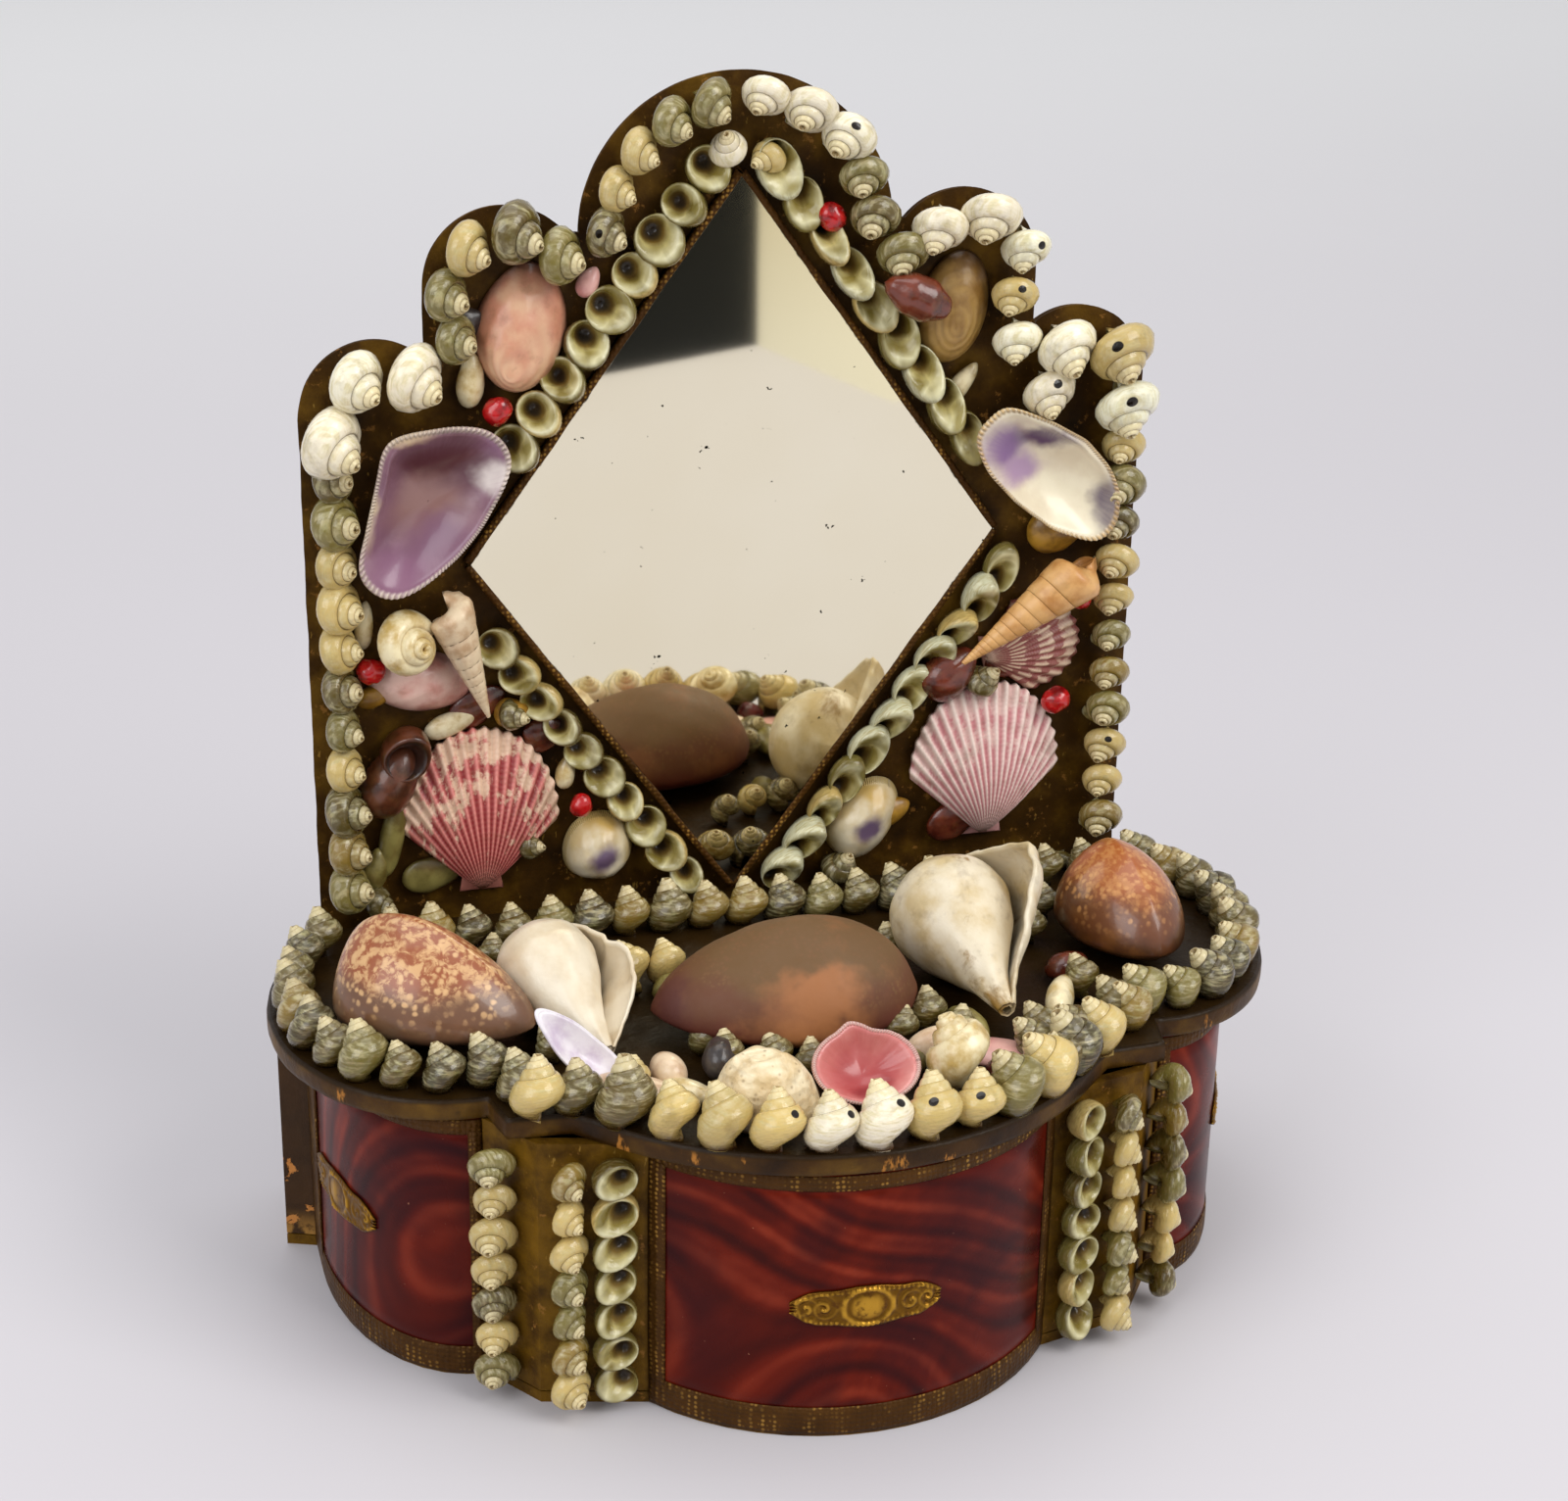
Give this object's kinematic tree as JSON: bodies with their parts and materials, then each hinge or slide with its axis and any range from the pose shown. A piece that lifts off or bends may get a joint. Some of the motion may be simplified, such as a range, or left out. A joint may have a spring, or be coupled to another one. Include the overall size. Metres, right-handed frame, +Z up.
{
  "type": "shell box",
  "caption": "Lobed card box with a lift-off lid, dressed with glued-on sea shells, and a tall stepped back board that carries a diamond-shaped mirror.",
  "frame": {"origin": "on the underside of the box floor, midway between the front of the box and the front face of the back board, on the left-right centre line", "axes": "+Z up, +X to the object's right as seen from its front, front faces -Y"},
  "size_m": [0.224, 0.1295, 0.2551],
  "materials": {
    "card": "matte, worn",
    "marbled": "glossy marbled paper on card",
    "lid": "satin, worn",
    "mirror": "polished, with old tarnish",
    "foil": "embossed, tarnished",
    "pearl": "nacre, satin",
    "cream": "satin shell",
    "violet": "glossy shell",
    "rose": "satin shell",
    "blush": "satin shell",
    "tan": "satin shell",
    "brown": "glossy shell"
  },
  "bodies": {
    "root": {"box_floor": "card", "box_back_wall": "card", "rear_post_right": "card", "rear_post_left": "card", "pilaster_right": "card", "pilaster_left": "card", "back_board": "card", "side_panel_right": "marbled", "side_panel_left": "marbled", "front_panel": "marbled", "lid": "lid", "mirror_glass": "mirror", "foil_front": "foil", "foil_right": "foil", "foil_left": "foil", "clam_left": "violet", "clam_right": "violet", "auger_left": "cream", "globe_snail": "cream", "oyster_left": "cream", "oyster_right": "cream", "whelk_left": "cream", "shell_sliver": "cream", "whelk_right": "cream", "rough_cockle": "cream", "ball_snail": "cream", "auger_right": "tan", "limpet_right": "tan", "cowrie_left": "tan", "pink_shell": "blush", "scallop_right": "blush", "slipper_shell": "blush", "beige_cowrie": "blush", "beige_olive": "blush", "pink_bowl": "blush", "scallop_left": "rose", "scallop_small": "rose", "brown_whelk": "brown", "olive_seed": "brown", "nut_cowrie": "brown", "cowrie_right": "brown", "edge_row_left": "pearl", "edge_row_upper_left": "pearl", "edge_row_upper_right": "pearl", "edge_row_right": "pearl", "mirror_row_upper_left": "pearl", "mirror_row_upper_right": "pearl", "mirror_row_lower_left": "pearl", "mirror_row_lower_right": "pearl", "lid_row_left": "pearl", "lid_row_front": "pearl", "lid_row_right": "pearl", "lid_row_back": "pearl", "pilaster_row_left_side": "pearl", "pilaster_row_left_front": "pearl", "pilaster_row_right_front": "pearl", "pilaster_row_right_side": "pearl"}
  },
  "joints": []
}
